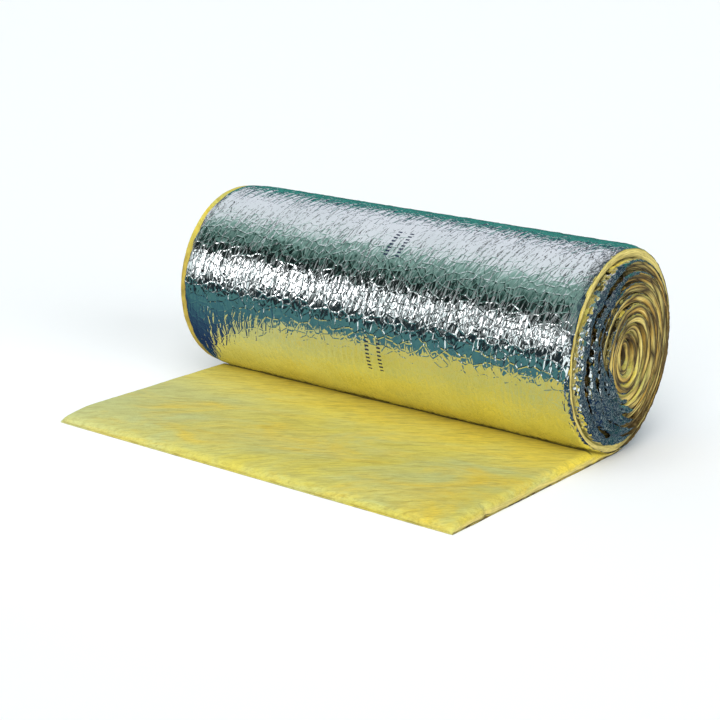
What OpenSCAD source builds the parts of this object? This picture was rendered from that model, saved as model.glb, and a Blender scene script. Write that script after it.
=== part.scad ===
// Foil-faced glass wool blanket, wound up foil side out, with its last stretch unrolled on the floor.
// The roll's axis runs along X. The unrolled flap lies towards -Y, wool side up and foil side down.

/* [Blanket] */
// Width of the blanket, which is the length of every turn of the roll
blanket_w = 1200; // [600:10:1500]
// Thickness of the blanket where it lies free, facing included
blanket_t = 30; // [20:1:50]
// Thickness that the crinkled foil facing takes up
facing_t = 1; // [0.5:0.1:2]

/* [Roll] */
// Radius of the roll over its outermost turn
roll_r = 260; // [200:5:350]
// Turns inside the outermost one
inner_turns = 10; // [4:1:14]
// Radius of the open hole down the middle of the roll
bore_r = 12; // [8:1:30]
// How far the inner turns have slid out of the right-hand end, at most
turn_slide = 44; // [10:1:80]

/* [Unrolled flap] */
// Distance from the roll's axis to the cut edge of the flap
flap_reach = 700; // [400:10:1200]
// Thickness that is left of the blanket where the roll's weight squeezes it
squeezed_t = 12; // [5:1:18]

/* [Hidden] */
$fn = 180;
// The inner turns lie inside the outermost one and share the rest of the radius.
core_r = roll_r - blanket_t;
turn_pitch = (core_r - bore_r) / inner_turns;
// The slide grows from the outermost turn to a crest and falls off again towards the core.
slide_sweep = 150;
// The front half of the outline ends on the squeezed blanket, so its radius is a little smaller.
front_r = roll_r - squeezed_t / 2;
// The origin is under the middle of the whole object's box.
axis_y = (flap_reach - roll_r) / 2;
left_x = -(blanket_w + turn_slide) / 2;
right_x = left_x + blanket_w;
// Overshoot of a cutting shape past the face that it cuts
over = 5;

// How far inner turn number i, counted from the outside, has slid to the right.
function slide_of(i) = turn_slide * sin(i * slide_sweep / inner_turns);

// Outer radius of inner turn number i.
function turn_r(i) = core_r - (i - 1) * turn_pitch;

// Lays a section drawn in Y and Z along X, from the left-hand cut edges to the right-hand ones.
module along_roll() {
    translate([left_x, axis_y, 0])
        rotate([90, 0, 90])
            linear_extrude(height = blanket_w)
                children();
}

// Turns a profile, drawn as radius and place along X, around the roll's axis.
module around_axis() {
    translate([0, axis_y, roll_r])
        rotate([0, 90, 0])
            rotate_extrude()
                children();
}

// The half of a disc that lies behind the axis.
module back_half(r) {
    intersection() {
        translate([0, roll_r]) circle(r = r);
        translate([0, -over]) square([roll_r + over, 2 * roll_r + 2 * over]);
    }
}

// The half of a disc that lies in front of the axis, and ends on the squeezed blanket.
module front_half(r) {
    intersection() {
        translate([0, roll_r + squeezed_t / 2]) circle(r = r);
        translate([-roll_r - over, -over]) square([roll_r + over, 2 * roll_r + 2 * over]);
    }
}

// Section of the facing: under the flap, up the back, over the top, down the front and under the roll.
module facing_section() {
    translate([-flap_reach, 0]) square([flap_reach, facing_t]);
    difference() {
        back_half(roll_r);
        back_half(roll_r - facing_t);
    }
    front_facing_section();
}

// The stretch of the facing that comes down the front of the roll.
module front_facing_section() {
    difference() {
        front_half(front_r);
        front_half(front_r - facing_t);
    }
}

// Section of the wool, without what the end faces add to it.
module wool_section() {
    difference() {
        union() {
            back_half(roll_r - facing_t);
            front_half(front_r - facing_t);
            translate([-flap_reach, facing_t]) square([flap_reach, blanket_t - facing_t]);
        }
        front_facing_section();
    }
}

// Profile of the inner turns' end edges, as steps, back to a flat line at base_x.
module turn_steps(edge_x, base_x) {
    for (i = [1 : inner_turns])
        polygon([
            [turn_r(i), base_x],
            [turn_r(i), edge_x + slide_of(i)],
            [turn_r(i + 1), edge_x + slide_of(i)],
            [turn_r(i + 1), base_x]
        ]);
}

// The wool: the wound turns, stepped at both ends, and the flap, in one piece.
module wool_blanket() {
    color([0.86, 0.80, 0.45])
    difference() {
        union() {
            along_roll() wool_section();
            around_axis() turn_steps(right_x, right_x - over);
        }
        around_axis() turn_steps(left_x, left_x - over);
        translate([left_x - over, axis_y, roll_r])
            rotate([0, 90, 0])
                cylinder(r = bore_r, h = blanket_w + turn_slide + 2 * over);
    }
}

// The foil facing on the outer side of the outermost turn and under the flap.
module foil_facing() {
    color([0.80, 0.81, 0.83])
    along_roll() facing_section();
}

wool_blanket();
foil_facing();
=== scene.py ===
"""A wound glass wool blanket with a crinkled foil facing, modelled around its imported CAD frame.

The blanket is worked out flat, as its maker lays it: x runs across its width and the run goes along
its length, from the cut edge of the flap to the core. Winding then carries that flat blanket onto
the floor and round the roll, foil side out. Every size and place is in metres, in the frame's axes.
"""

import logging
import math
from dataclasses import dataclass, field
from enum import Enum
from functools import partial, reduce

import bpy
import numpy as np
from mathutils import Euler, Matrix, Vector


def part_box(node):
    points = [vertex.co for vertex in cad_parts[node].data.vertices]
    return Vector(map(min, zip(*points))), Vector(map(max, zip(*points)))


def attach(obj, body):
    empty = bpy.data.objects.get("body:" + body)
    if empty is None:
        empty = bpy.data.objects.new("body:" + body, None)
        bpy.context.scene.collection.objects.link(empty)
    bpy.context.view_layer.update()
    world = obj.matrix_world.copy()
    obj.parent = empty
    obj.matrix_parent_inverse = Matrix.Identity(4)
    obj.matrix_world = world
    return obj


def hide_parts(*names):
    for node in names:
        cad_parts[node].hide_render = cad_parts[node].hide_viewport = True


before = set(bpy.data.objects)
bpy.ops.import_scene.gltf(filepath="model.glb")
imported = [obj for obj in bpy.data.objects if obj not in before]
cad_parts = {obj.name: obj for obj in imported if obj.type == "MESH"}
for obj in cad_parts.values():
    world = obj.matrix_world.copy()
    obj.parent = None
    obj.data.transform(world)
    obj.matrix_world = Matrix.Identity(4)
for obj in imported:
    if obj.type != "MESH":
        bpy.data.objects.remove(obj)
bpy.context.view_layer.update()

LOG = logging.getLogger("insulation_roll")
TURN = 2 * math.pi
QUARTER = math.pi / 2
MM = 0.001

Colour = tuple[float, float, float, float]
Point = tuple[float, float, float]
Socket = bpy.types.NodeSocket


class End(Enum):
    """The two cut ends of the roll, with the way that each one faces along X."""

    LEFT = -1
    RIGHT = 1


class Noise:
    """Smooth gradient noise over a plane, the same in every run."""

    def __init__(self, seed: int) -> None:
        """Draws the lattice.

        Args:
            seed: number that picks the pattern.
        """
        draw = np.random.default_rng(seed)
        self._order = draw.permutation(256)
        headings = draw.uniform(0, TURN, 256)
        self._slopes = np.stack([np.cos(headings), np.sin(headings)], axis=1)

    def at(self, u: np.ndarray, v: np.ndarray) -> np.ndarray:
        """Noise of one octave.

        Args:
            u: first coordinate, in cells of the lattice.
            v: second coordinate, in cells of the lattice.

        Returns:
            Values from about -1 to 1, in the shape of u and v together.
        """
        u, v = np.broadcast_arrays(np.asarray(u, float), np.asarray(v, float))
        cell_u = np.floor(u).astype(int)
        cell_v = np.floor(v).astype(int)
        part_u = u - cell_u
        part_v = v - cell_v

        def corner(du: int, dv: int) -> np.ndarray:
            """Share that one corner of the cell gives.

            Args:
                du: 0 for the near side of the cell, 1 for the far one.
                dv: the same in the other direction.

            Returns:
                The share.
            """
            first = self._order[(cell_u + du) & 255]
            slope = self._slopes[self._order[(first + cell_v + dv) & 255]]
            return slope[..., 0] * (part_u - du) + slope[..., 1] * (part_v - dv)

        ease_u = part_u ** 3 * (part_u * (part_u * 6 - 15) + 10)
        ease_v = part_v ** 3 * (part_v * (part_v * 6 - 15) + 10)
        near = corner(0, 0) + ease_u * (corner(1, 0) - corner(0, 0))
        far = corner(0, 1) + ease_u * (corner(1, 1) - corner(0, 1))
        return (near + ease_v * (far - near)) * 1.5

    def layered(self, u: np.ndarray, v: np.ndarray, octaves: int = 3) -> np.ndarray:
        """Sum of octaves, each twice as fine and half as strong as the one before.

        Args:
            u: first coordinate, in cells of the coarsest lattice.
            v: second coordinate, in cells of the coarsest lattice.
            octaves: how many are added.

        Returns:
            Values from about -1 to 1.
        """
        total = 0.0
        for octave in range(octaves):
            scale = 2 ** octave
            total = total + self.at(u * scale + 17.3 * octave, v * scale - 9.1 * octave) / scale
        return total / 1.6

    def ridged(self, u: np.ndarray, v: np.ndarray) -> np.ndarray:
        """Noise folded into sharp crests, from 0 in the hollows to 1 on the crests."""
        return 1 - np.minimum(np.abs(self.at(u, v)) * 2.2, 1)


def smooth_step(low: float, high: float, value: np.ndarray) -> np.ndarray:
    """Goes smoothly from 0 at low to 1 at high."""
    share = np.clip((value - low) / (high - low), 0, 1)
    return share * share * (3 - 2 * share)


def side_of(angle: np.ndarray) -> np.ndarray:
    """Direction in the section of a winding angle: -90 degrees at the foot, 180 at the front."""
    return np.mod(angle, TURN) - QUARTER


def placed(name: str, data: bpy.types.ID) -> bpy.types.Object:
    """Makes an object and links it to the scene.

    Args:
        name: name of the object.
        data: the mesh, light or camera that it holds.

    Returns:
        The new object.
    """
    holder = bpy.data.objects.new(name, data)
    bpy.context.scene.collection.objects.link(holder)
    return holder


def grid_mesh(name: str, points: np.ndarray, lay: np.ndarray, closed: bool) -> bpy.types.Object:
    """Makes a smooth mesh object from rows of points.

    Args:
        name: name of the object.
        points: places as rows x columns x 3.
        lay: each point's place on the flat blanket, as rows x columns x 3: across, run and depth.
        closed: True where each row is a closed loop, which also gets its first and last row filled.

    Returns:
        The new object, linked to the scene.
    """
    rows, columns = points.shape[:2]
    index = np.arange(rows * columns).reshape(rows, columns)
    following = np.roll(index, -1, axis=1) if closed else index[:, 1:]
    here = index if closed else index[:, :-1]
    quads = np.stack([here[:-1], following[:-1], following[1:], here[1:]], axis=-1).reshape(-1, 4)
    faces = (quads if closed else quads[:, ::-1]).tolist()
    if closed:
        faces.append(index[0, ::-1].tolist())
        faces.append(index[-1].tolist())
    mesh = bpy.data.meshes.new(name)
    mesh.from_pydata(points.reshape(-1, 3).tolist(), [], faces)
    places = mesh.attributes.new("lay", "FLOAT_VECTOR", "POINT")
    places.data.foreach_set("vector", lay.astype(np.float32).ravel())
    corners = np.zeros(len(mesh.loops), np.int32)
    mesh.loops.foreach_get("vertex_index", corners)
    flat = mesh.uv_layers.new(name="flat_blanket")
    flat.data.foreach_set("uv", lay.reshape(-1, 3)[corners][:, :2].astype(np.float32).ravel())
    mesh.shade_smooth()
    mesh.update()
    return placed(name, mesh)


@dataclass(frozen=True)
class RollSizes:
    """Sizes of the wound blanket. The frame gives the outer ones."""

    left: float
    right: float
    axis_y: float
    radius: float
    flap_reach: float
    slide: float
    blanket: float = 30 * MM
    squeezed: float = 12 * MM
    turns: int = 10
    bore: float = 15 * MM

    @classmethod
    def from_frame(cls) -> "RollSizes":
        """Reads the outer sizes off the CAD nodes' boxes.

        Returns:
            The sizes.
        """
        foil_low, foil_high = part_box("foil_facing")
        wool_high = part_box("wool_blanket")[1]
        radius = foil_high.z / 2
        axis_y = foil_high.y - radius
        return cls(
            left=foil_low.x,
            right=foil_high.x,
            axis_y=axis_y,
            radius=radius,
            flap_reach=axis_y - foil_low.y,
            slide=wool_high.x - foil_high.x,
        )


class Winding:
    """The line that the foil follows round the roll, and how far each stretch has slid endwise."""

    # Thickness of the outermost turn at some directions round the section, in degrees and metres.
    OUTER_TURN = {
        -90: 12 * MM, -50: 27 * MM, 0: 31 * MM, 90: 31 * MM, 150: 25 * MM, 185: 18 * MM, 240: 19 * MM,
    }
    # How far the core has sunk off the roll's axis, in y and z.
    SAG = (-6 * MM, -4 * MM)
    # How far the inner turns stray off a clean spiral.
    WOBBLE = 2.0 * MM
    # How far the outermost turn is drawn in at its ends, and how soon that fades along X.
    SHOULDER = 7 * MM
    SHOULDER_REACH = 12 * MM
    # Above 1, the turns get thinner towards the core.
    TIGHTENING = 1.2
    # How far the turns have slid endwise: the crest as a share of the frame's, and the rest in metres.
    CREST = 0.78
    CORE_SUNK = 28 * MM
    LEAN = 6 * MM
    WANDER = 4 * MM
    # Directions in the section where the turns have slid furthest, where their foil stands out most,
    # and of the middle of their lower front.
    LEAN_SIDE = math.radians(205)
    BARED_SIDE = math.radians(185)
    UNDER_SIDE = math.radians(228)

    def __init__(self, sizes: RollSizes) -> None:
        """Works out the winding.

        Args:
            sizes: sizes of the roll.
        """
        self.sizes = sizes
        self.last = TURN * (sizes.turns + 1)
        self._uneven = Noise(11)
        self._shift = Noise(12)
        self._side_table = np.radians(np.arange(-90, 271, 2.0))
        self._shell_table = self._shell(self._side_table)
        angle = np.arange(0, self.last + 0.02, 0.02)
        step = 0.02 * self._plain_radius(angle)
        self._angle_table = angle
        self._run_table = sizes.flap_reach + np.concatenate([[0], np.cumsum(step[:-1])])

    def _outermost(self, side: np.ndarray) -> np.ndarray:
        """Distance from the axis to the outermost foil, which ends on the squeezed blanket.

        Args:
            side: direction in the section.

        Returns:
            The distance.
        """
        size = self.sizes
        rise = size.squeezed / 2
        front = rise * np.sin(side) + np.sqrt((size.radius - rise) ** 2 - (rise * np.cos(side)) ** 2)
        return np.where(side < QUARTER, size.radius, front)

    def _shell(self, side: np.ndarray) -> np.ndarray:
        """Radius that the bundle of inner turns would have if it didn't wind inwards.

        Args:
            side: directions in the section, evenly spaced round it.

        Returns:
            The radius in each direction, smoothed.
        """
        size = self.sizes
        foot = size.radius - size.squeezed
        knots = dict(self.OUTER_TURN)
        knots[270] = (foot - size.bore) * (1 - (1 - 1 / size.turns) ** self.TIGHTENING)
        depth = np.interp(side, np.radians(list(knots)), list(knots.values()))
        share = 1 - (side + QUARTER) / (TURN * size.turns)
        shell = size.bore + (self._outermost(side) - depth - size.bore) / share ** self.TIGHTENING
        spread = np.exp(-0.5 * (np.arange(-12, 13) / 5.0) ** 2)
        ring = np.concatenate([shell[-13:-1], shell, shell[1:13]])
        return np.convolve(ring, spread / spread.sum(), mode="valid")

    def _plain_radius(self, angle: np.ndarray) -> np.ndarray:
        """Distance from the axis to the foil, without its unevenness.

        Args:
            angle: winding angle.

        Returns:
            The distance.
        """
        size = self.sizes
        side = side_of(angle)
        shell = np.interp(side, self._side_table, self._shell_table)
        share = np.clip(1 - (angle - TURN) / (TURN * size.turns), 0, 1)
        inner = size.bore + (shell - size.bore) * share ** self.TIGHTENING
        return np.where(angle < TURN, self._outermost(side), inner)

    def run(self, angle: np.ndarray) -> np.ndarray:
        """Length of blanket from the flap's cut edge to a winding angle."""
        return np.interp(angle, self._angle_table, self._run_table)

    def foil_radius(self, angle: np.ndarray) -> np.ndarray:
        """Distance from the middle of the section to the foil.

        Args:
            angle: winding angle, from 0 at the roll's foot.

        Returns:
            Radii, uneven on the inner turns.
        """
        run = self.run(angle)
        fade = smooth_step(TURN, TURN * 1.25, angle) * smooth_step(self.last, self.last - TURN, angle)
        uneven = self._uneven.layered(run / 0.11, run * 0 + 0.5, 2) * self.WOBBLE
        return self._plain_radius(angle) + uneven * fade

    def thickness(self, angle: np.ndarray) -> np.ndarray:
        """Thickness of the wool, which fills the room up to the next turn's foil.

        Args:
            angle: winding angle.

        Returns:
            The thickness.
        """
        following = self.foil_radius(np.minimum(angle + TURN, self.last))
        inner = np.where(angle + TURN > self.last, self.sizes.bore, following)
        return np.maximum(self.foil_radius(angle) - inner, 1.0 * MM)

    def place(self, angle: np.ndarray, depth: np.ndarray) -> tuple[np.ndarray, np.ndarray]:
        """Place in the section of a point of the blanket.

        Args:
            angle: winding angle.
            depth: how far the point lies inside the foil.

        Returns:
            Its y and z.
        """
        side = side_of(angle)
        side = np.where(angle >= TURN, side, angle - QUARTER)
        reach = self.foil_radius(angle) - depth
        sunk = np.clip((angle - TURN) / (self.last - TURN), 0, 1)
        y = self.sizes.axis_y + self.SAG[0] * sunk + reach * np.cos(side)
        z = self.sizes.radius + self.SAG[1] * sunk + reach * np.sin(side)
        return y, z

    def slide(self, angle: np.ndarray) -> np.ndarray:
        """How far the blanket has slid to the right at a winding angle.

        Args:
            angle: winding angle.

        Returns:
            The distance.
        """
        inmost = np.maximum(angle / TURN - 0.55, 0) / (self.sizes.turns + 0.45)
        crest = self.CREST * self.sizes.slide * np.sin(math.pi * np.minimum(inmost ** 0.95, 0.5)) ** 0.7
        crest = crest - self.CORE_SUNK * smooth_step(0.5, 1.0, inmost)
        lean = self.LEAN * np.cos(side_of(angle) - self.LEAN_SIDE) * smooth_step(1.2, 3.0, angle / TURN)
        wander = self.WANDER * self._shift.at(angle / 2.3, angle * 0 + 0.4)
        return crest + (lean + wander) * smooth_step(0.9, 1.6, angle / TURN)

    def bared(self, angle: np.ndarray) -> np.ndarray:
        """How strongly the foil stands out past the wool: 1 at the front of an inner turn, 0 at its back."""
        front = smooth_step(-0.6, 0.6, np.cos(side_of(angle) - self.BARED_SIDE))
        return front * smooth_step(TURN, TURN * 1.1, angle)

    def underside(self, angle: np.ndarray) -> np.ndarray:
        """1 at the lower front of a turn and 0 elsewhere."""
        return smooth_step(0.3, 0.9, np.cos(side_of(angle) - self.UNDER_SIDE))

    @staticmethod
    def held(angle: np.ndarray) -> np.ndarray:
        """1 where the outermost turn's foil has room for its wrinkles, and 0 at both of its ends."""
        return smooth_step(0.12, 0.45, angle) * smooth_step(TURN - 0.18, TURN - 0.38, angle)

    def shoulder(self, from_end: np.ndarray) -> np.ndarray:
        """How far the outermost turn is drawn in near its ends."""
        return self.SHOULDER * np.exp(-np.maximum(from_end, 0) / self.SHOULDER_REACH)

    def stations(self, first: float, last: float, spacing: float) -> np.ndarray:
        """Winding angles that are evenly spaced along the blanket, and closer near the core.

        Args:
            first: first winding angle.
            last: last winding angle.
            spacing: spacing along the blanket.

        Returns:
            The angles.
        """
        angle = np.arange(first, last, 0.01)
        crowd = np.cumsum(np.maximum(self._plain_radius(angle) / spacing, 1 / math.radians(7))) * 0.01
        count = int(crowd[-1])
        inside = np.interp(np.linspace(crowd[0], crowd[-1], count), crowd, angle)
        return np.concatenate([[first], inside[1:-1], [last]])


@dataclass
class Relief:
    """Wrinkles, tufts and ragged edges of the blanket, as functions of its flat coordinates."""

    # How far the long folds lean over, across for each metre along.
    slant: float = 0.16
    # Heights on the foil: long folds, the folds that cross them, and fine crinkles.
    tension: float = 1.8 * MM
    crumple: float = 1.1 * MM
    fine: float = 0.20 * MM
    # Heights on the wool's free side, broad and fine, and on its cut edges, broad and fine.
    swell: float = 1.5 * MM
    tuft: float = 0.45 * MM
    ragged: float = 2.2 * MM
    frayed: float = 0.8 * MM
    tension_noise: Noise = field(default_factory=lambda: Noise(21))
    crumple_noise: Noise = field(default_factory=lambda: Noise(22))
    fine_noise: Noise = field(default_factory=lambda: Noise(23))
    wool_noise: Noise = field(default_factory=lambda: Noise(24))
    edge_noise: Noise = field(default_factory=lambda: Noise(25))

    def foil(self, across: np.ndarray, run: np.ndarray) -> np.ndarray:
        """Height of the foil's wrinkles, which mostly run round the roll.

        Args:
            across: place across the blanket's width.
            run: place along the blanket.

        Returns:
            Heights, from about -2 to 2 mm.
        """
        bend = self.crumple_noise.layered(across / 0.14, run / 0.20, 2) * 0.020
        skew = across + self.slant * run + bend
        long_folds = self.tension_noise.ridged(skew / 0.021, run / 0.17)
        long_folds = long_folds + 0.6 * self.tension_noise.ridged(skew / 0.0125 + 40, run / 0.09)
        strength = 0.55 + 0.45 * self.crumple_noise.at(across / 0.16 + 9, run / 0.13)
        crossing = self.crumple_noise.ridged((across - 0.5 * run + bend) / 0.034, (run + bend) / 0.050)
        crossing = crossing * self.crumple_noise.ridged(across / 0.09 + 31, run / 0.12)
        crinkle = self.fine_noise.layered(skew / 0.010, run / 0.028, 2)
        height = self.tension * strength * (long_folds - 0.8)
        return height + self.crumple * (crossing - 0.3) + self.fine * crinkle

    def wool(self, across: np.ndarray, run: np.ndarray) -> np.ndarray:
        """Height of the soft swells and tufts of the wool's free side.

        Args:
            across: place across the blanket's width.
            run: place along the blanket.

        Returns:
            Heights, from about -2 to 2 mm.
        """
        swell = self.wool_noise.layered(across / 0.16, run / 0.11, 3)
        tuft = self.wool_noise.layered(across / 0.030 + 5, run / 0.014, 2)
        return self.swell * swell + self.tuft * tuft

    def edge(self, run: np.ndarray, depth: np.ndarray, end: End) -> np.ndarray:
        """How far a cut end of the wool stands proud of its line.

        Args:
            run: place along the blanket.
            depth: place through it.
            end: which end.

        Returns:
            The distance.
        """
        offset = 50.0 * end.value
        coarse = self.edge_noise.layered(run / 0.045 + offset, depth / 0.012 + offset, 2)
        fine = self.edge_noise.layered(run / 0.009 - offset, depth / 0.004, 2)
        return self.ragged * coarse + self.frayed * fine


class NodeSet:
    """Shorthand for adding and linking the nodes of one tree."""

    def __init__(self, tree: bpy.types.NodeTree) -> None:
        """Takes the tree that the nodes go into."""
        self.tree = tree

    def add(self, kind: str, inputs: dict | None = None, **settings: object) -> bpy.types.Node:
        """Adds a node.

        Args:
            kind: the node's type, without its ShaderNode prefix.
            inputs: constant values or outputs to link, by the input's name or number.
            **settings: properties of the node itself.

        Returns:
            The node.
        """
        node = self.tree.nodes.new("ShaderNode" + kind)
        for name, value in settings.items():
            setattr(node, name, value)
        for name, value in (inputs or {}).items():
            self.put(node.inputs[name], value)
        return node

    def put(self, socket: Socket, value: object) -> None:
        """Gives an input a constant, or links an output to it.

        Args:
            socket: the input.
            value: the constant or the output.
        """
        if isinstance(value, Socket):
            self.tree.links.new(value, socket)
        else:
            socket.default_value = value

    def span(self, value: object, low: float, high: float, start: float = 0.0, stop: float = 1.0) -> Socket:
        """Maps low..high onto start..stop and holds the ends."""
        values = {"Value": value, "From Min": low, "From Max": high, "To Min": start, "To Max": stop}
        return self.add("MapRange", values).outputs["Result"]

    def math(self, operation: str, first: object, second: object = 0.0) -> Socket:
        """One step of arithmetic."""
        return self.add("Math", {0: first, 1: second}, operation=operation).outputs[0]

    def vector(self, operation: str, first: object, second: object = (0.0, 0.0, 0.0)) -> Socket:
        """One step of arithmetic on vectors."""
        return self.add("VectorMath", {0: first, 1: second}, operation=operation).outputs[0]

    def times(self, *values: object) -> Socket:
        """Multiplies two or more values."""
        return reduce(partial(self.math, "MULTIPLY"), values)

    def plus(self, *values: object) -> Socket:
        """Adds two or more values."""
        return reduce(partial(self.math, "ADD"), values)

    def tint(self, share: object, first: object, second: object, blend: str = "MIX") -> Socket:
        """Mixes two colours.

        Args:
            share: how much of the second there is.
            first: the colour at 0.
            second: the colour at 1.
            blend: how they are mixed.

        Returns:
            The mixed colour.
        """
        node = self.add("Mix", data_type="RGBA", blend_type=blend)
        ends = [socket for socket in node.inputs if socket.type == "RGBA"]
        for socket, value in zip((node.inputs[0], *ends), (share, first, second)):
            self.put(socket, value)
        return next(socket for socket in node.outputs if socket.type == "RGBA")

    def ramp(self, value: object, low: float, high: float, stops: tuple) -> Socket:
        """Colours a value by stops.

        Args:
            value: the value to colour.
            low: lowest value.
            high: highest value.
            stops: values, each with its colour.

        Returns:
            The colour.
        """
        node = self.add("ValToRGB", {"Fac": self.span(value, low, high, 0.0, 1.0)})
        marks = node.color_ramp.elements
        marks.remove(marks[1])
        for number, (level, colour) in enumerate(stops):
            place = (level - low) / (high - low)
            mark = marks[0] if number == 0 else marks.new(place)
            mark.position = place
            mark.color = (*colour, 1.0)
        return node.outputs["Color"]


class ShaderTree(NodeSet):
    """Node tree of one procedural material, built around its Principled shader."""

    def __init__(self, name: str) -> None:
        """Makes an empty material.

        Args:
            name: name of the material.
        """
        self.material = bpy.data.materials.new(name)
        self.material.use_nodes = True
        super().__init__(self.material.node_tree)
        self.shader = next(n for n in self.tree.nodes if n.type == "BSDF_PRINCIPLED")

    def set(self, **values: float | tuple[float, ...]) -> None:
        """Sets constant inputs of the shader, named with _ for a space."""
        for name, value in values.items():
            self.shader.inputs[name.replace("_", " ")].default_value = value

    def feed(self, name: str, output: Socket) -> None:
        """Links an output to an input of the shader."""
        self.tree.links.new(output, self.shader.inputs[name])

    def lay(self, scale: Point, turn: float = 0.0) -> Socket:
        """Coordinates on the flat blanket, scaled.

        Args:
            scale: cells per metre across, along and through the blanket.
            turn: angle that the pattern is turned by in the blanket's plane, in degrees.

        Returns:
            The scaled vector.
        """
        place = self.add("Attribute", attribute_name="lay").outputs["Vector"]
        turned = self.add("Mapping", {0: place, "Rotation": (0, 0, math.radians(turn))}).outputs[0]
        return self.add("Mapping", {0: turned, "Scale": scale}).outputs[0]

    def part(self, letter: str) -> Socket:
        """One coordinate on the flat blanket: X across it, Y along it or Z through it."""
        place = self.add("Attribute", attribute_name="lay").outputs["Vector"]
        return self.add("SeparateXYZ", {0: place}).outputs[letter]

    def facing(self, letter: str) -> Socket:
        """One coordinate of the surface's normal."""
        normal = self.add("NewGeometry").outputs["Normal"]
        return self.add("SeparateXYZ", {0: normal}).outputs[letter]

    def upright(self) -> Socket:
        """1 where the surface stands upright, as on a cut edge, and 0 where it lies level."""
        return self.span(self.facing("Z"), 0.25, 0.80, 1.0, 0.0)

    def stripes(self, value: object, every: float, half: float) -> Socket:
        """1 on stripes of a half width that repeat along a value, and 0 between them."""
        return self.math("LESS_THAN", self.math("PINGPONG", value, every / 2), half)

    def noise(self, vector: Socket, detail: float = 3.0, rough: float = 0.55, twist: float = 0.0) -> Socket:
        """Noise of one cell to a unit of the vector."""
        values = {"Vector": vector, "Scale": 1.0, "Detail": detail, "Roughness": rough, "Distortion": twist}
        return self.add("TexNoise", values).outputs["Fac"]

    def crests(self, vector: Socket, width: float) -> Socket:
        """Sharp creases between cells: 1 on a crease, falling to 0 at a width from it."""
        cells = self.add("TexVoronoi", {"Vector": vector, "Scale": 1.0}, feature="DISTANCE_TO_EDGE")
        return self.span(cells.outputs["Distance"], 0.0, width, 1.0, 0.0)

    def bump(self, height: Socket, distance: float) -> Socket:
        """A normal bumped by a height."""
        values = {"Height": height, "Distance": distance, "Strength": 1.0}
        return self.add("Bump", values).outputs["Normal"]


@dataclass(frozen=True)
class CrinkledFoil:
    """Bright aluminium facing: fine creases and crinkles, and a printed run of plain cutting marks."""

    name: str = "crinkled_foil"
    metal: Colour = (0.91, 0.92, 0.93, 1.0)
    creased: Colour = (0.76, 0.79, 0.80, 1.0)
    ink: Colour = (0.012, 0.02, 0.05, 1.0)
    glue: Colour = (0.16, 0.11, 0.04, 1.0)
    # How far normals lean upwards all over, and how far those of the crushed facets lean at random.
    sag: float = 0.05
    crushed: float = 0.80
    # The printed marks: groups of ticks along the foil, in columns across it, near its middle.
    group_every: float = 0.30
    group_start: float = 0.12
    group_half: float = 0.045
    tick_every: float = 11 * MM
    tick_half: float = 0.23 * 11 * MM
    column_every: float = 0.036
    column_start: float = -0.005
    column_half: float = 0.006
    printed_at: float = 0.024
    printed_half: float = 0.03

    def make(self) -> bpy.types.Material:
        """Builds the material.

        Returns:
            The material.
        """
        tree = ShaderTree(self.name)
        ripple = tree.noise(tree.lay((62, 19, 1), -9), 2, 0.5, 0.4)
        crease = tree.crests(tree.lay((62, 22, 1), -9), 0.16)
        cross = tree.crests(tree.lay((38, 44, 1), 24), 0.10)
        grit = tree.noise(tree.lay((420, 300, 1)), 2)
        fine = (tree.times(cross, 0.35), tree.times(grit, 0.025))
        height = tree.plus(tree.times(ripple, 1.35), tree.times(crease, 0.45), *fine)
        normal = tree.vector("ADD", tree.bump(height, 1.0 * MM), self._facets(tree))
        normal = tree.vector("ADD", normal, (0, 0, self.sag))
        tree.feed("Normal", tree.vector("NORMALIZE", normal))
        cloud = tree.noise(tree.lay((9, 7, 1)), 4)
        colour = tree.tint(tree.span(cloud, 0.35, 0.7, 0.0, 0.5), self.metal, self.creased)
        printed = self._marks(tree)
        glued = tree.add("NewGeometry").outputs["Backfacing"]
        tree.feed("Base Color", tree.tint(glued, tree.tint(printed, colour, self.ink), self.glue))
        tree.feed("Metallic", tree.span(tree.math("MAXIMUM", printed, glued), 0.0, 1.0, 1.0, 0.1))
        tree.feed("Roughness", tree.span(cloud, 0.3, 0.7, 0.05, 0.13))
        return tree.material

    def _facets(self, tree: ShaderTree) -> Socket:
        """Random tilts of the small flat facets on the crushed edges.

        Args:
            tree: the material's tree.

        Returns:
            What is added to the normal.
        """
        cells = tree.add("TexVoronoi", {"Vector": tree.lay((105, 105, 1), 20), "Scale": 1.0})
        tilt = tree.vector("SUBTRACT", cells.outputs["Color"], (0.5, 0.5, 0.5))
        share = tree.times(tree.part("Z"), self.crushed)
        return tree.add("VectorMath", {0: tilt, "Scale": share}, operation="SCALE").outputs[0]

    def _marks(self, tree: ShaderTree) -> Socket:
        """Groups of plain ticks in two columns, repeated along the foil.

        Args:
            tree: the material's tree.

        Returns:
            1 on a tick and 0 elsewhere.
        """
        across = tree.part("X")
        run = tree.part("Y")
        group = tree.stripes(tree.plus(run, self.group_start), self.group_every, self.group_half)
        tick = tree.stripes(run, self.tick_every, self.tick_half)
        column = tree.stripes(tree.plus(across, self.column_start), self.column_every, self.column_half)
        off_middle = tree.math("ABSOLUTE", tree.math("SUBTRACT", across, self.printed_at))
        return tree.times(group, tick, column, tree.math("LESS_THAN", off_middle, self.printed_half))


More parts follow.
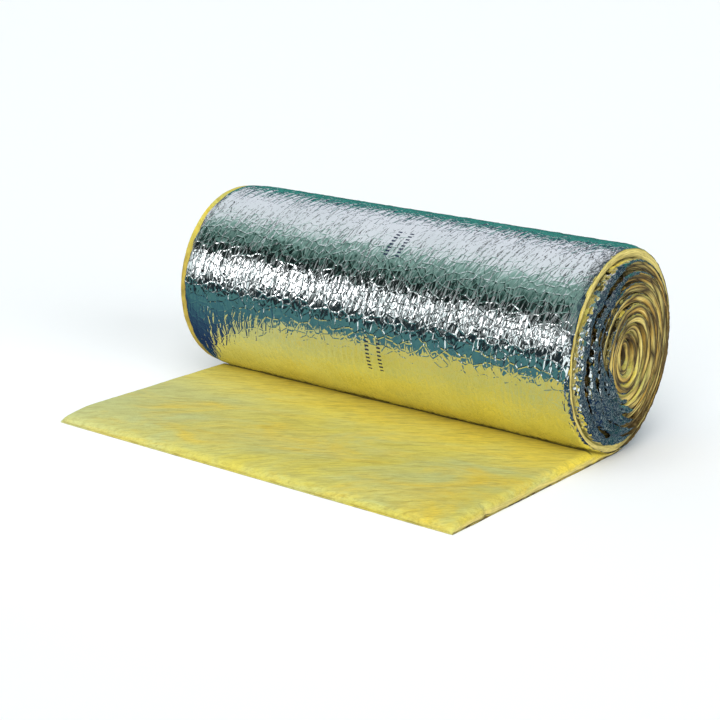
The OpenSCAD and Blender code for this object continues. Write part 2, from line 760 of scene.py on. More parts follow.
@dataclass(frozen=True)
class GlassWool:
    """Yellow glass wool: soft fibres in thin layers, with mottled binder that browns the cut ends, partly as
    painted shade; painted light and shade also sit near the nip, in the gaps and at the core.
    """

    name: str = "glass_wool"
    streak: float = -32.0
    body: Colour = (0.585, 0.51, 0.090, 1.0)
    pale: Colour = (0.50, 0.51, 0.18, 1.0)
    ochre: Colour = (0.72, 0.50, 0.030, 1.0)
    # Painted light: a brighter yellow near the nip, lifting the shade that the roll casts on the flap.
    painted_nip_light: Colour = (0.88, 0.70, 0.070, 1.0)
    shade: Colour = (0.20, 0.14, 0.025, 1.0)
    cream: Colour = (0.80, 0.67, 0.22, 1.0)
    # Browner colour of the inner turns' cut ends: partly binder and partly painted shade between the turns.
    brown: Colour = (0.50, 0.30, 0.055, 1.0)
    bleached: Colour = (0.48, 0.52, 0.25, 1.0)
    # Painted shade: a darker colour for the flap's and outermost turn's cut edges that face the front.
    front_shaded_cut: Colour = (0.50, 0.37, 0.055, 1.0)
    # Painted shade: near-black for the crease at the nip, the gaps between layers and turns on the cut ends,
    # and the core's hole.
    painted_gap_shade: Colour = (0.03, 0.02, 0.01, 1.0)
    # Places along the blanket: the flap's meeting with the roll, the inner turns' start, and the core.
    nip_run: float = 0.606
    wound_run: float = 2.33
    core_run: float = 10.3

    def make(self) -> bpy.types.Material:
        """Builds the material.

        Returns:
            The material.
        """
        tree = ShaderTree(self.name)
        tree.set(Roughness=1.0, Specular_IOR_Level=0.08, Sheen_Weight=0.05, Sheen_Roughness=0.6)
        fibres = tree.noise(tree.lay((34, 330, 300), self.streak), 4, 0.62, 0.7)
        strands = tree.noise(tree.lay((14, 95, 120), self.streak - 5), 3, 0.6, 0.9)
        cross = tree.noise(tree.lay((90, 200, 240), 40), 3, 0.6, 0.8)
        colour = self._binder(tree)
        colour = tree.tint(tree.span(strands, 0.32, 0.54, 0.34, 0.0), colour, self.shade)
        colour = tree.tint(tree.span(fibres, 0.30, 0.54, 0.34, 0.0), colour, self.shade)
        # Painted shade: a thin near-black line along the crease where the flap meets the roll.
        crease = tree.math("ABSOLUTE", tree.math("SUBTRACT", tree.part("Y"), self.nip_run - 3.0 * MM))
        crease = tree.span(crease, 2.0 * MM, 6.0 * MM, 0.75, 0.0)
        crease = tree.times(crease, tree.span(tree.part("Z"), 20 * MM, 26 * MM))
        colour = tree.tint(crease, colour, self.painted_gap_shade)
        lamina = tree.crests(tree.lay((10, 6, 95)), 0.28)
        colour = tree.tint(self._edge(tree), colour, self._cut(tree, lamina))
        # Painted shade: the last turns near the core darken to near-black, in place of the shade inside the
        # bore.
        core = tree.span(tree.part("Y"), self.core_run - 0.30, self.core_run - 0.13, 0.0, 0.95)
        tree.feed("Base Color", tree.tint(core, colour, self.painted_gap_shade))
        height = tree.plus(tree.times(fibres, 0.8), tree.times(cross, 0.4), tree.times(strands, 1.2))
        grooves = tree.times(lamina, tree.upright(), self._wound(tree))
        tree.feed("Normal", tree.bump(tree.math("SUBTRACT", height, grooves), 1.6 * MM))
        return tree.material

    def _binder(self, tree: ShaderTree) -> Socket:
        """Mottled colour of the wool's free side, bleached at the left, with painted light near the roll: a
        brighter, warmer yellow that lifts the shade the roll casts on the flap.

        Args:
            tree: the material's tree.

        Returns:
            The colour.
        """
        across = tree.part("X")
        run = tree.part("Y")
        patches = tree.noise(tree.lay((3.4, 8, 20), self.streak), 4, 0.6, 0.7)
        warm = tree.noise(tree.lay((3.2, 6.5, 20), self.streak + 8), 4, 0.62, 0.9)
        colour = tree.tint(tree.span(patches, 0.42, 0.64, 0.0, 0.9), self.body, self.pale)
        faded = tree.math("SUBTRACT", tree.span(across, -0.58, -0.10, 0.7, 0.0), self._rolled(tree))
        colour = tree.tint(tree.span(faded, 0.0, 1.0), colour, self.bleached)
        # Painted light: near the nip the flap turns warmer, then brighter yellow, in place of the shade that
        # the roll casts there.
        before = tree.span(run, self.nip_run - 0.26, self.nip_run - 0.02)
        near_nip = tree.times(before, tree.span(run, self.nip_run, self.nip_run + 0.3, 1.0, 0.0))
        warmth = tree.plus(warm, tree.times(near_nip, 0.2))
        colour = tree.tint(tree.span(warmth, 0.50, 0.84), colour, self.ochre)
        return tree.tint(tree.times(near_nip, 0.85), colour, self.painted_nip_light)

    def _edge(self, tree: ShaderTree) -> Socket:
        """1 on the cut edges, but only low down on the flap's rounded ones."""
        worn = tree.span(tree.facing("Z"), 0.0, 0.45, 1.0, 0.0)
        return tree.math("MAXIMUM", worn, tree.times(tree.upright(), self._rolled(tree)))

    def _rolled(self, tree: ShaderTree) -> Socket:
        """0 on the flap and 1 on the roll."""
        return tree.span(tree.part("Y"), self.nip_run, self.nip_run + 0.10)

    def _wound(self, tree: ShaderTree) -> Socket:
        """0 on the flap and the outermost turn, and 1 on the inner turns."""
        return tree.span(tree.part("Y"), self.wound_run - 0.05, self.wound_run + 0.10)

    def _cut(self, tree: ShaderTree, lamina: Socket) -> Socket:
        """Colour of the cut edges, where the layers show, with painted shade in the gaps between layers,
        along the foil and on edges that face the front.

        Args:
            tree: the material's tree.
            lamina: 1 in the thin gaps between the layers.

        Returns:
            The colour.
        """
        cloud = tree.noise(tree.lay((6, 3.2, 60)), 3, 0.6, 0.5)
        wound = self._wound(tree)
        # Inner turns' cut ends: brown and cream at random, the brown partly binder and partly painted shade.
        inner = tree.tint(tree.span(cloud, 0.42, 0.62), self.brown, self.cream)
        # Painted shade: cut edges of the flap and outermost turn that face the front take the darker colour.
        front_shaded_cut = tree.tint(tree.span(tree.facing("Y"), -0.60, -0.25, 0.9, 0.0), self.cream, self.front_shaded_cut)
        colour = tree.tint(wound, front_shaded_cut, inner)
        streaks = tree.noise(tree.lay((60, 30, 520)), 3, 0.6)
        colour = tree.tint(tree.span(streaks, 0.35, 0.6, 0.6, 0.0), colour, self.shade)
        glints = tree.noise(tree.lay((26, 12, 210)), 3, 0.6)
        glints = tree.times(wound, tree.span(glints, 0.52, 0.66, 0.0, 0.8))
        colour = tree.tint(glints, colour, self.cream)
        # Painted shade: dark lines in the gaps between the layers.
        lines = tree.times(lamina, tree.span(wound, 0.0, 1.0, 0.20, 1.0))
        colour = tree.tint(lines, colour, self.painted_gap_shade)
        # Painted shade: a dark band along the foil side of each turn's cut end, where the turns meet.
        return tree.tint(tree.span(tree.part("Z"), 2.0 * MM, 6.0 * MM, 0.95, 0.0), colour, self.painted_gap_shade)


@dataclass
class WoolBatt:
    """The glass wool of the blanket: the flap with the outermost turn, and the inner turns."""

    winding: Winding
    relief: Relief
    finish: bpy.types.Material
    # Spacing of the flap's rows and columns and of the inner turns' rows, and steps through a cut end.
    flap_step: float = 6.5 * MM
    turn_step: float = 5.0 * MM
    end_steps: int = 12
    # How far the flap's wool stays off the foil's line, and how far it lies under the wrinkled foil.
    lift: float = 0.6 * MM
    sink: float = 3.5 * MM
    # How far the cut ends bulge, and the radius of the flap's worn edges.
    bulge: float = 4.5 * MM
    edge_round: float = 23 * MM
    # How much thinner the flap is at its front edge, and how far back that reaches.
    thinned: float = 0.32
    thinned_reach: float = 90 * MM
    # How far the outermost turn stands out at the left end, and the inner turns are drawn in at the right.
    rim_proud: float = 7 * MM
    drawn_in: float = 6 * MM
    # A nick in the flap's right side: its depth, its place along the blanket and its half width.
    nick: float = 7 * MM
    nick_run: float = 0.14
    nick_half: float = 11 * MM

    def _end_x(
        self, end: End, angle: np.ndarray, run: np.ndarray, share: np.ndarray, depth: np.ndarray
    ) -> np.ndarray:
        """Place along X of a point on a cut end.

        Args:
            end: which end.
            angle: winding angle, 0 or less on the flap.
            run: place along the blanket.
            share: place through the thickness, from 0 at the foil to 1.
            depth: the same in metres.

        Returns:
            The x of each point.
        """
        size = self.winding.sizes
        edge = size.right if end is End.RIGHT else size.left
        crown = self.bulge * (1 - np.abs(2 * share - 1) ** 2.6) - 1.5 * MM
        arc = np.clip((share - 0.25) / 0.75, 0, 1)
        worn = self.edge_round * (np.sqrt(1 - arc ** 2) - 1)
        crown = crown + (worn - crown) * smooth_step(0.0, 0.05, -angle)
        if end is End.LEFT:
            outermost = smooth_step(-0.3, 0.6, angle) * (1 - smooth_step(TURN, TURN * 1.2, angle))
            crown = crown + self.rim_proud * outermost
        else:
            outer_half = 1 - smooth_step(TURN * 4, TURN * 6, angle)
            crown = crown - self.nick * np.exp(-((run - self.nick_run) / self.nick_half) ** 2)
            crown = crown - self.drawn_in * self.winding.bared(angle) * outer_half
        proud = crown + self.relief.edge(run, depth, end)
        return edge + self.winding.slide(np.maximum(angle, 0)) + end.value * proud

    def _loops(
        self, angle: np.ndarray, run: np.ndarray, thick: np.ndarray, across: np.ndarray, back: np.ndarray
    ) -> tuple[np.ndarray, np.ndarray, np.ndarray]:
        """Cross-sections of the batt as closed loops in flat coordinates.

        Args:
            angle: winding angle of each row.
            run: place along the blanket of each row.
            thick: thickness of each row.
            across: shares of the width where the free side has its columns.
            back: shares of the width where the foil side has its columns.

        Returns:
            x, share through the thickness, and depth, each as rows x columns.
        """
        ring = (1 - np.cos(np.linspace(0, math.pi, self.end_steps + 1))) / 2
        ones = np.ones((len(run), 1))
        angle = angle[:, None]
        run = run[:, None]
        thick = thick[:, None]
        left_in, right_in = (self._end_x(end, angle, run, 1.0, thick) for end in End)
        left_out, right_out = (self._end_x(end, angle, run, 0.0, thick * 0) for end in End)
        foil_side = left_out + (right_out - left_out) * back
        inwards = ring[1:-1] * ones
        outwards = ring[-2:0:-1] * ones
        right_face = self._end_x(End.RIGHT, angle, run, inwards, ring[1:-1] * thick)
        free_side = right_in + (left_in - right_in) * across
        left_face = self._end_x(End.LEFT, angle, run, outwards, ring[-2:0:-1] * thick)
        x = np.concatenate([foil_side, right_face, free_side, left_face], axis=1)
        share = np.concatenate([foil_side * 0, inwards, free_side * 0 + 1, outwards], axis=1)
        return x, share, share * thick

    def _columns(self, near: list[float], middle: int) -> np.ndarray:
        """Shares of the width, close together near both ends.

        Args:
            near: distances from an end, in metres.
            middle: how many even columns lie between.

        Returns:
            Shares from 0 to 1.
        """
        width = self.winding.sizes.right - self.winding.sizes.left
        first = np.array([0.0, *near]) / width
        inner = np.linspace(first[-1], 1 - first[-1], middle + 2)[1:-1]
        return np.concatenate([first, inner, 1 - first[::-1]])

    def _flap_rows(self) -> tuple[np.ndarray, np.ndarray]:
        """Works out the rows of the flap, which are close together on its rounded front edge.

        Returns:
            Each row's distance in front of the roll's foot, and its share of the height.
        """
        reach = self.winding.sizes.flap_reach
        curve = np.radians([0, 10, 21, 33, 45, 58, 73, 90])
        front = reach - self.edge_round * (1 - np.cos(curve))
        rise = 0.02 + 0.98 * np.sin(curve)
        flat = np.arange(front[-1] - self.flap_step, self.flap_step / 2, -self.flap_step)
        return np.concatenate([front, flat]), np.concatenate([rise, np.ones(len(flat))])

    def flap_and_outer_turn(self) -> bpy.types.Object:
        """Builds the unrolled flap together with the outermost turn.

        Returns:
            The piece.
        """
        size = self.winding.sizes
        ahead, rise = self._flap_rows()
        nip_height = size.radius + size.squeezed / 2
        front = size.radius - size.squeezed / 2
        under = nip_height - np.sqrt(np.maximum(front ** 2 - ahead ** 2, 0))
        lowest = np.minimum(size.blanket, np.where(ahead < front, under, 1.0))
        turns = self.winding.stations(0.0, TURN, 8 * MM)[1:]
        angle = np.concatenate([-ahead, turns])
        run = np.concatenate([size.flap_reach - ahead, self.winding.run(turns)])
        thick = np.concatenate([lowest, self.winding.thickness(turns)])
        width = size.right - size.left
        across = np.linspace(0, 1, int(width / self.flap_step) + 1)
        back = self._columns([3 * MM, 7 * MM, 12 * MM, 20 * MM, 34 * MM, 60 * MM], 3)
        x, share, depth = self._loops(angle, run, thick, across, back)
        taper = 1 - self.thinned * (1 - smooth_step(0, self.thinned_reach, size.flap_reach - ahead))
        grow = np.concatenate([rise * taper, np.ones(len(turns))])[:, None]
        swell = self.relief.wool(x, run[:, None] * np.ones_like(x))
        clear = smooth_step(0.5 * MM, 6 * MM, size.blanket - thick)[:, None]
        on_flap = (angle <= 0)[:, None]
        swell = np.where(on_flap, swell * (1 - clear), np.minimum(swell, 0) * 0.5 - 0.4 * MM)
        swell = np.where(share > 0.999, swell, swell * share ** 2 * 0.6)
        depth = np.maximum((depth + swell) * grow, self.lift)
        from_end = np.minimum(x - x.min(axis=1, keepdims=True), x.max(axis=1, keepdims=True) - x)
        sunk = self.winding.shoulder(from_end) + self.sink * smooth_step(0, 15 * MM, from_end)
        depth = depth + sunk * self.winding.held(angle)[:, None] * (1 - share) ** 2
        y_turn, z_turn = self.winding.place(np.maximum(angle, 0)[:, None] * np.ones_like(x), depth)
        y = np.where(on_flap, size.axis_y - np.concatenate([ahead, turns * 0])[:, None] + 0 * x, y_turn)
        z = np.where(on_flap, depth, z_turn)
        cut = self.relief.edge_noise.layered(x / 0.035, depth / 0.012, 2) * self.relief.ragged
        at_front = (1 - smooth_step(0, 14 * MM, run))[:, None]
        y = y - cut * at_front * on_flap
        lay = np.stack([x, run[:, None] + 0 * x, depth], axis=-1)
        return self._finish("wool_flap_and_outer_turn", np.stack([x, y, z], axis=-1), lay)

    def inner_turns(self) -> bpy.types.Object:
        """Builds the turns inside the outermost one, in one length down to the core.

        Returns:
            The piece.
        """
        winding = self.winding
        angle = winding.stations(TURN, winding.last, self.turn_step)
        run = winding.run(angle)
        thick = np.maximum(winding.thickness(angle) - 0.6 * MM, 0.6 * MM)
        near = [3 * MM, 8 * MM, 16 * MM, 32 * MM, 70 * MM]
        across = self._columns(near, 2)
        back = self._columns(near[1:4], 2)
        x, _, depth = self._loops(angle, run, thick, across, back)
        depth = np.maximum(depth, 0.4 * MM)
        y, z = winding.place(angle[:, None] * np.ones_like(x), depth)
        lay = np.stack([x, run[:, None] + 0 * x, depth], axis=-1)
        return self._finish("wool_inner_turns", np.stack([x, y, z], axis=-1), lay)

    def _finish(self, name: str, points: np.ndarray, lay: np.ndarray) -> bpy.types.Object:
        """Makes the mesh, turns its faces outwards, dresses it and fixes it to the frame.

        Args:
            name: name of the piece.
            points: places as rows x columns x 3.
            lay: each point's place on the flat blanket.

        Returns:
            The piece.
        """
        piece = grid_mesh(name, points, lay, closed=True)
        face_outwards(piece)
        piece.data.materials.append(self.finish)
        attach(piece, "root")
        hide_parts("wool_blanket")
        return piece


def face_outwards(piece: bpy.types.Object) -> None:
    """Recalculates the normals of a closed mesh so that its faces point outwards.

    Args:
        piece: the object, already linked to the scene.
    """
    bpy.ops.object.select_all(action="DESELECT")
    bpy.context.view_layer.objects.active = piece
    piece.select_set(True)
    bpy.ops.object.mode_set(mode="EDIT")
    bpy.ops.mesh.select_all(action="SELECT")
    bpy.ops.mesh.normals_make_consistent(inside=False)
    bpy.ops.object.mode_set(mode="OBJECT")
    piece.select_set(False)


@dataclass
class FoilFacing:
    """The foil glued to the blanket: the flap's underside with the outermost turn, and the inner turns."""

    winding: Winding
    relief: Relief
    finish: bpy.types.Material
    # Spacing of the outermost turn's columns and rows, and of the inner turns' rows.
    column: float = 2.75 * MM
    row: float = 8 * MM
    turn_row: float = 3.6 * MM
    floor_gap: float = 0.3 * MM
    # How far short of the blanket's inmost end the foil stops, in radians of winding.
    foil_short: float = 0.3
    # How strongly the overhanging edges are crushed, finely and coarsely, and dented endwise.
    crush_fine: float = 3.4 * MM
    crush_coarse: float = 3.2 * MM
    dented: float = 3.6 * MM
    # Shortest and longest overhang.
    least_hang: float = 0.5 * MM
    most_hang: float = 34 * MM
    overhang_noise: Noise = field(default_factory=lambda: Noise(31))

    def outer_turn(self) -> bpy.types.Object:
        """Builds the foil under the flap and round the outermost turn.

        Returns:
            The piece.
        """
        winding = self.winding
        size = winding.sizes
        ahead = np.linspace(size.flap_reach - 1 * MM, 0.03, 15)
        angle = winding.stations(0.0, TURN, self.row)
        width = size.right - size.left
        share = np.linspace(0, 1, int(width / self.column) + 1)
        run = np.concatenate([size.flap_reach - ahead, winding.run(angle)])[:, None]
        turn = np.concatenate([ahead * 0, angle])[:, None]
        noise = self.overhang_noise
        left = size.left + 6.0 * MM + 1.5 * MM * noise.layered(run / 0.03, run * 0 + 7.7, 3)
        right = size.right + 1.5 * MM + 2.5 * MM * noise.layered(run / 0.03, run * 0 + 3.3, 3)
        slide = winding.slide(turn)
        x = left + slide + (right - left) * share
        from_end = np.minimum(x - left - slide, right + slide - x)
        held = winding.held(turn)
        height = self.relief.foil(x, run + 0 * x) * held
        tuck = winding.shoulder(from_end) * held
        y_turn, z_turn = winding.place(turn + 0 * x, tuck - height)
        on_flap = np.arange(len(run))[:, None] < len(ahead)
        y = np.where(on_flap, np.concatenate([size.axis_y - ahead, angle * 0])[:, None] + 0 * x, y_turn)
        z = np.where(on_flap, self.floor_gap, np.maximum(z_turn, self.floor_gap))
        lay = np.stack([x, run + 0 * x, 0 * x], axis=-1)
        piece = grid_mesh("foil_flap_and_outer_turn", np.stack([x, y, z], axis=-1), lay, closed=False)
        return self._finish(piece, float(run[-1, 0]), "wool_flap_and_outer_turn")

    def inner_turns(self) -> bpy.types.Object:
        """Builds the foil of the inner turns, whose edges stand out crumpled at both ends.

        Returns:
            The piece.
        """
        winding = self.winding
        size = winding.sizes
        angle = winding.stations(TURN, winding.last - self.foil_short, self.turn_row)[:, None]
        run = winding.run(angle)
        slide = winding.slide(angle)
        noise = self.overhang_noise
        near = np.array([0, 4, 9, 15, 24, 40, 80, 200]) * MM
        left_hang = self._overhang(run, angle, End.LEFT)
        right_hang = self._overhang(run, angle, End.RIGHT)
        part = np.arange(1, 7) / 6
        glued = near * 0 + 0 * run
        beyond = np.concatenate([part[::-1] * left_hang, glued, glued, part * right_hang], axis=1)
        at_edge = part * 0
        base = [at_edge + size.left, size.left + near, size.right - near[::-1], at_edge + size.right]
        base = np.concatenate(base)
        share = np.concatenate([part[::-1], near * 0, near * 0, part])
        way = np.where(np.arange(len(base)) < len(base) / 2, -1.0, 1.0)
        flop = self._flop(run, angle) * share ** 1.5
        drop = beyond * np.sin(flop)
        x = base + slide + way * (beyond * np.cos(flop))
        from_end = np.minimum(np.abs(base - size.left), np.abs(size.right - base))
        crumple = self.relief.foil(x + 3.0, run) * np.exp(-from_end / (30 * MM))
        crumple = crumple + self.crush_fine * share * noise.layered(run / 0.011 + 9 * way, beyond / 0.01, 2)
        crumple = crumple + self.crush_coarse * share * noise.at(run / 0.034 + 5 * way, beyond / 0.03)
        dent = noise.layered(run / 0.016 + 9 * way, beyond / 0.009 + 4, 2)
        x = x + way * self.dented * share * np.sin(flop) * dent
        inward = np.clip(np.maximum(np.sin(side_of(angle)), 0.0) + winding.underside(angle), 0, 1)
        y, z = winding.place(angle + 0 * x, -crumple * 0.8 + drop * inward)
        z = z - drop * (1 - inward) * 0.6
        crushed = np.where(share > 0, 1.0, np.clip(1.6 - from_end / (24 * MM), 0, 1))
        lay = np.stack([x, run + 0 * x, crushed + 0 * x], axis=-1)
        piece = grid_mesh("foil_inner_turns", np.stack([x, y, z], axis=-1), lay, closed=False)
        return self._finish(piece, float(run[-1, 0] - run[0, 0]), "wool_inner_turns")

    def _overhang(self, run: np.ndarray, angle: np.ndarray, end: End) -> np.ndarray:
        """How far the foil stands out past the wool at one end.

        Args:
            run: place along the blanket.
            angle: winding angle.
            end: which end.

        Returns:
            The distance.
        """
        coarse = self.overhang_noise.layered(run / 0.13 + 20 * end.value, run * 0 + 2.2, 3)
        front = self.winding.bared(angle)
        inmost = (angle - TURN) / (self.winding.last - TURN)
        under = self.winding.underside(angle)
        reach = 3.0 + 20.0 * front + 9.0 * coarse * (0.1 + 0.9 * front)
        fade = smooth_step(0.0, 1.0, (inmost - 0.12 - 0.22 * under) / (0.20 + 0.10 * under))
        hang = MM * (reach * (1 - 0.85 * fade) + 5.0 * under * (1 - fade))
        return np.clip(hang, self.least_hang, self.most_hang)

    def _flop(self, run: np.ndarray, angle: np.ndarray) -> np.ndarray:
        """How far the overhanging foil has bent over.

        Args:
            run: place along the blanket.
            angle: winding angle.

        Returns:
            The bend in radians.
        """
        coarse = self.overhang_noise.at(run / 0.09, run * 0 + 8.1)
        bent = np.maximum(np.sin(side_of(angle)), 0) + self.winding.underside(angle)
        return np.clip(0.30 + 0.9 * bent + 0.6 * coarse, 0.0, 1.5)

    def _finish(self, piece: bpy.types.Object, length: float, under: str) -> bpy.types.Object:
        """Dresses a sheet and fixes it to the frame.

        Args:
            piece: the sheet.
            length: its length along the blanket; not used.
            under: the wool that it is glued to; not used.

        Returns:
            The sheet.
        """
        piece.data.materials.append(self.finish)
        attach(piece, "root")
        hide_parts("foil_facing")
        return piece


@dataclass
class Studio:
    """Pale floor, soft lights, the room that the foil mirrors, and the camera."""

    # The camera: its lens in mm, its place, and its bearing, height and roll in degrees.
    lens: float = 86.94
    place: Point = (2.4983, -3.3856, 1.3696)
    azimuth: float = 36.826
    elevation: float = 15.810
    level: float = 1.2135
    # The wall that the camera sees, how much brighter the front of the room is than its bands say, and
    # the pale haze over its dark band.
    wall: Colour = (0.93, 0.93, 0.94, 1.0)
    bright: Colour = (3.4, 3.4, 3.4, 1.0)
    haze: Colour = (0.9, 0.95, 0.95, 1.0)

    # The room's colour by its angle about the roll, in degrees: 0 is the horizon in front, 90 overhead.
    ROOM = (
        (-180, (0.02, 0.10, 0.09)),
        (-90, (0.015, 0.03, 0.08)),
        (-55, (0.03, 0.07, 0.12)),
        (-24, (0.05, 0.15, 0.17)),
        (-8, (0.08, 0.21, 0.20)),
        (-5, (0.01, 0.02, 0.03)),
        (6, (0.02, 0.03, 0.03)),
        (11, (0.33, 0.37, 0.37)),
        (39, (0.33, 0.37, 0.37)),
        (43, (0.004, 0.008, 0.008)),
        (58, (0.006, 0.014, 0.012)),
        (68, (0.06, 0.13, 0.11)),
        (80, (0.25, 0.42, 0.37)),
        (94, (0.72, 0.79, 0.82)),
        (143, (0.76, 0.80, 0.87)),
        (148, (0.03, 0.05, 0.10)),
        (154, (0.03, 0.09, 0.10)),
        (159, (0.05, 0.27, 0.23)),
        (180, (0.05, 0.27, 0.23)),
    )
    # Clutter to the right of the roll, where only the crumpled edges of the foil look.
    CLUTTER = (
        (0.00, (0.01, 0.02, 0.05)),
        (0.45, (0.01, 0.03, 0.06)),
        (0.50, (0.02, 0.06, 0.09)),
        (0.54, (0.42, 0.50, 0.47)),
        (0.58, (0.03, 0.07, 0.09)),
        (0.66, (0.01, 0.02, 0.05)),
    )
    # How bright the front of the room is by direction along X: upright dark and light strips.
    STRIPS = (
        (-1.00, 0.10), (-0.90, 0.90), (-0.85, 0.90), (-0.80, 0.00), (-0.72, 0.00), (-0.69, 0.75),
        (-0.66, 1.00), (-0.618, 1.00), (-0.608, 0.02), (-0.590, 0.02), (-0.582, 0.50), (-0.572, 0.50),
        (-0.566, 0.04), (-0.550, 0.04), (-0.543, 0.20), (-0.508, 0.20), (-0.500, 0.02), (-0.492, 0.70),
        (-0.477, 0.70), (-0.468, 0.02), (-0.44, 0.00), (-0.37, 0.00), (-0.345, 0.60), (-0.30, 0.60),
        (-0.26, 0.00), (-0.17, 0.00), (-0.15, 0.90), (0.42, 0.90), (0.46, 0.05), (1.00, 0.05),
    )
    # The same for the ceiling, whose dark strips only the slopes of the folds mirror.
    BEAMS = (
        (-1.00, 0.10), (-0.90, 0.15), (-0.88, 0.95), (-0.83, 0.95), (-0.805, 0.10), (-0.765, 0.10),
        (-0.745, 1.00), (-0.400, 1.00), (-0.380, 0.10), (-0.335, 0.10), (-0.315, 0.95), (-0.26, 0.95),
        (-0.24, 0.10), (-0.20, 0.10), (-0.18, 0.80), (-0.12, 0.80), (-0.08, 0.20), (1.00, 0.20),
    )

    def camera(self) -> None:
        """Sets up the camera."""
        data = bpy.data.cameras.new("camera")
        data.sensor_width = 36.0
        data.lens = self.lens
        holder = placed("camera", data)
        holder.location = self.place
        tilt = Euler((math.radians(90 - self.elevation), 0, math.radians(self.azimuth)), "XYZ")
        turn = tilt.to_matrix() @ Matrix.Rotation(math.radians(self.level), 3, "Z")
        holder.rotation_euler = turn.to_euler("XYZ")
        bpy.context.scene.camera = holder

    def floor(self) -> None:
        """Lays the floor, which the foil doesn't mirror."""
        reach = 40.0
        mesh = bpy.data.meshes.new("floor")
        corners = [(-reach, -reach, 0), (reach, -reach, 0), (reach, reach, 0), (-reach, reach, 0)]
        mesh.from_pydata(corners, [], [(0, 1, 2, 3)])
        piece = placed("floor", mesh)
        tree = ShaderTree("floor")
        tree.set(Base_Color=(0.94, 0.94, 0.945, 1.0), Roughness=0.9)
        piece.data.materials.append(tree.material)
        piece.visible_glossy = False

    def lights(self) -> None:
        """Hangs broad lamps, which only light the matt parts, and two softboxes that the foil mirrors."""
        self._broad("overhead", bearing=15, height=66, power=1.60, spread=60)
        self._broad("fill", bearing=28, height=25, power=1.90, spread=45)
        self._broad("side", bearing=78, height=22, power=1.3, spread=40)
        self._softbox("front_left", (-1.05, -0.86, 0.74), (-0.27, 0.0, 0.33), 0.22, 0.46, 1.1)
        self._softbox("front", (0.02, -1.02, 0.76), (0.55, 0.0, 0.33), 0.16, 0.38, 0.45)

    @staticmethod
    def _broad(name: str, bearing: float, height: float, power: float, spread: float) -> None:
        """Adds a broad, distant lamp.

        Args:
            name: name of the light.
            bearing: where it stands round the object, in degrees from the front towards the right.
            height: its height above the horizon, in degrees.
            power: its strength in watts per square metre.
            spread: its apparent width in degrees.
        """
        data = bpy.data.lights.new(name, "SUN")
        data.energy = power
        data.angle = math.radians(spread)
        holder = placed(name, data)
        holder.rotation_euler = Euler((math.radians(90 - height), 0, math.radians(bearing)), "XYZ")
        holder.visible_glossy = False

    @staticmethod
    def _softbox(name: str, place: Point, aim: Point, width: float, height: float, power: float) -> None:
        """Adds one area light, which the camera doesn't see.

        Args:
            name: name of the light.
            place: where it hangs.
            aim: the point that it faces.
            width: its width.
            height: its height.
            power: its power in watts.
        """
        data = bpy.data.lights.new(name, "AREA")
        data.shape = "RECTANGLE"
        data.size = width
        data.size_y = height
        data.energy = power
        holder = placed(name, data)
        holder.location = place
        holder.rotation_euler = (Vector(aim) - Vector(place)).to_track_quat("-Z", "Y").to_euler()
        holder.visible_camera = False

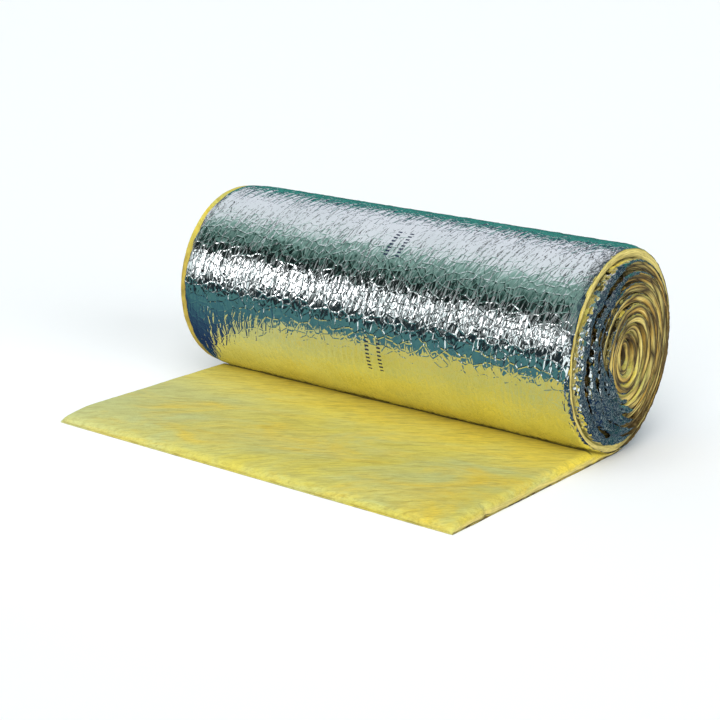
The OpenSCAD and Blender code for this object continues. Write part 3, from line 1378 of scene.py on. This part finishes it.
    def surroundings(self) -> None:
        """Makes the room that the foil mirrors, banded round X, while the camera sees a pale wall."""
        world = bpy.data.worlds.new("room")
        world.use_nodes = True
        bpy.context.scene.world = world
        tree = NodeSet(world.node_tree)
        where = tree.add("TexCoord").outputs["Generated"]
        parts = tree.add("SeparateXYZ", {0: where}).outputs
        across = parts["X"]
        angle = tree.math("ARCTAN2", parts["Z"], tree.times(parts["Y"], -1.0))
        angle = self._lowered(tree, across, tree.times(angle, 180 / math.pi))
        room = tree.ramp(angle, -180, 180, self.ROOM)
        above = tree.times(tree.span(angle, 72, 84), tree.span(angle, 143, 148, 1.0, 0.0))
        beams = self._strips(tree, across, self.BEAMS)
        room = tree.tint(above, room, tree.tint(1.0, room, beams, "MULTIPLY"))
        ahead = tree.times(tree.span(angle, 2, 9), tree.span(angle, 36, 44, 1.0, 0.0))
        bright = tree.tint(1.0, room, self.bright, "MULTIPLY")
        strips = self._strips(tree, across, self.STRIPS)
        room = tree.tint(ahead, room, tree.tint(1.0, bright, strips, "MULTIPLY"))
        dark = tree.times(tree.span(angle, 42, 48, 0.0, 0.35), tree.span(angle, 62, 78, 1.0, 0.0))
        far = tree.span(across, -0.86, -0.80, 1.0, 0.0)
        aside = tree.math("MAXIMUM", far, tree.span(across, -0.38, -0.30))
        aside = tree.times(aside, tree.span(across, -0.20, 0.0, 1.0, 0.3))
        room = tree.tint(tree.times(dark, aside), room, self.haze)
        speckle = tree.add("TexNoise", {"Vector": where, "Scale": 3.4, "Detail": 1.0, "Roughness": 0.5})
        clutter = tree.ramp(speckle.outputs["Fac"], 0, 1, self.CLUTTER)
        beside = tree.times(tree.span(across, -0.05, 0.20, 0.0, 0.9), tree.span(ahead, 0.0, 1.0, 1.0, 0.15))
        room = tree.tint(beside, room, clutter)
        rays = tree.add("LightPath").outputs["Is Camera Ray"]
        seen = tree.tint(rays, room, self.wall)
        tree.put(world.node_tree.nodes["Background"].inputs["Color"], seen)

    @staticmethod
    def _lowered(tree: NodeSet, across: Socket, angle: Socket) -> Socket:
        """Lowers the bands in front of the roll, in two steps towards the right.

        Args:
            tree: the room's tree.
            across: direction along X.
            angle: direction about the roll, in degrees.

        Returns:
            The direction that the bands are read at.
        """
        first = tree.times(tree.span(across, -0.60, -0.52, 0.0, 12.0), tree.span(angle, 20, 33))
        angle = tree.plus(angle, tree.times(first, tree.span(angle, 58, 80, 1.0, 0.0)))
        second = tree.times(tree.span(across, -0.25, -0.12, 0.0, 26.0), tree.span(angle, -34, -19))
        return tree.plus(angle, tree.times(second, tree.span(angle, 50, 80, 1.0, 0.0)))

    @staticmethod
    def _strips(tree: NodeSet, across: Socket, levels: tuple) -> Socket:
        """Greys by direction along X, each level with its grey."""
        return tree.ramp(across, -1, 1, tuple((level, (grey,) * 3) for level, grey in levels))


def main() -> None:
    """Builds the roll, then the studio around it."""
    logging.basicConfig(level=logging.INFO, format="%(message)s")
    winding = Winding(RollSizes.from_frame())
    relief = Relief()
    foil = FoilFacing(winding, relief, CrinkledFoil().make())
    core_run = float(winding.run(np.array(winding.last)))
    wool = WoolBatt(winding, relief, GlassWool(core_run=core_run).make())
    makers = (wool.flap_and_outer_turn, wool.inner_turns, foil.outer_turn, foil.inner_turns)
    for make in makers:
        piece = make()
        LOG.info("%s: %d faces", piece.name, len(piece.data.polygons))
    bpy.context.scene.view_settings.view_transform = "Standard"
    studio = Studio()
    studio.floor()
    studio.lights()
    studio.surroundings()
    studio.camera()


if __name__ == "__main__":
    main()
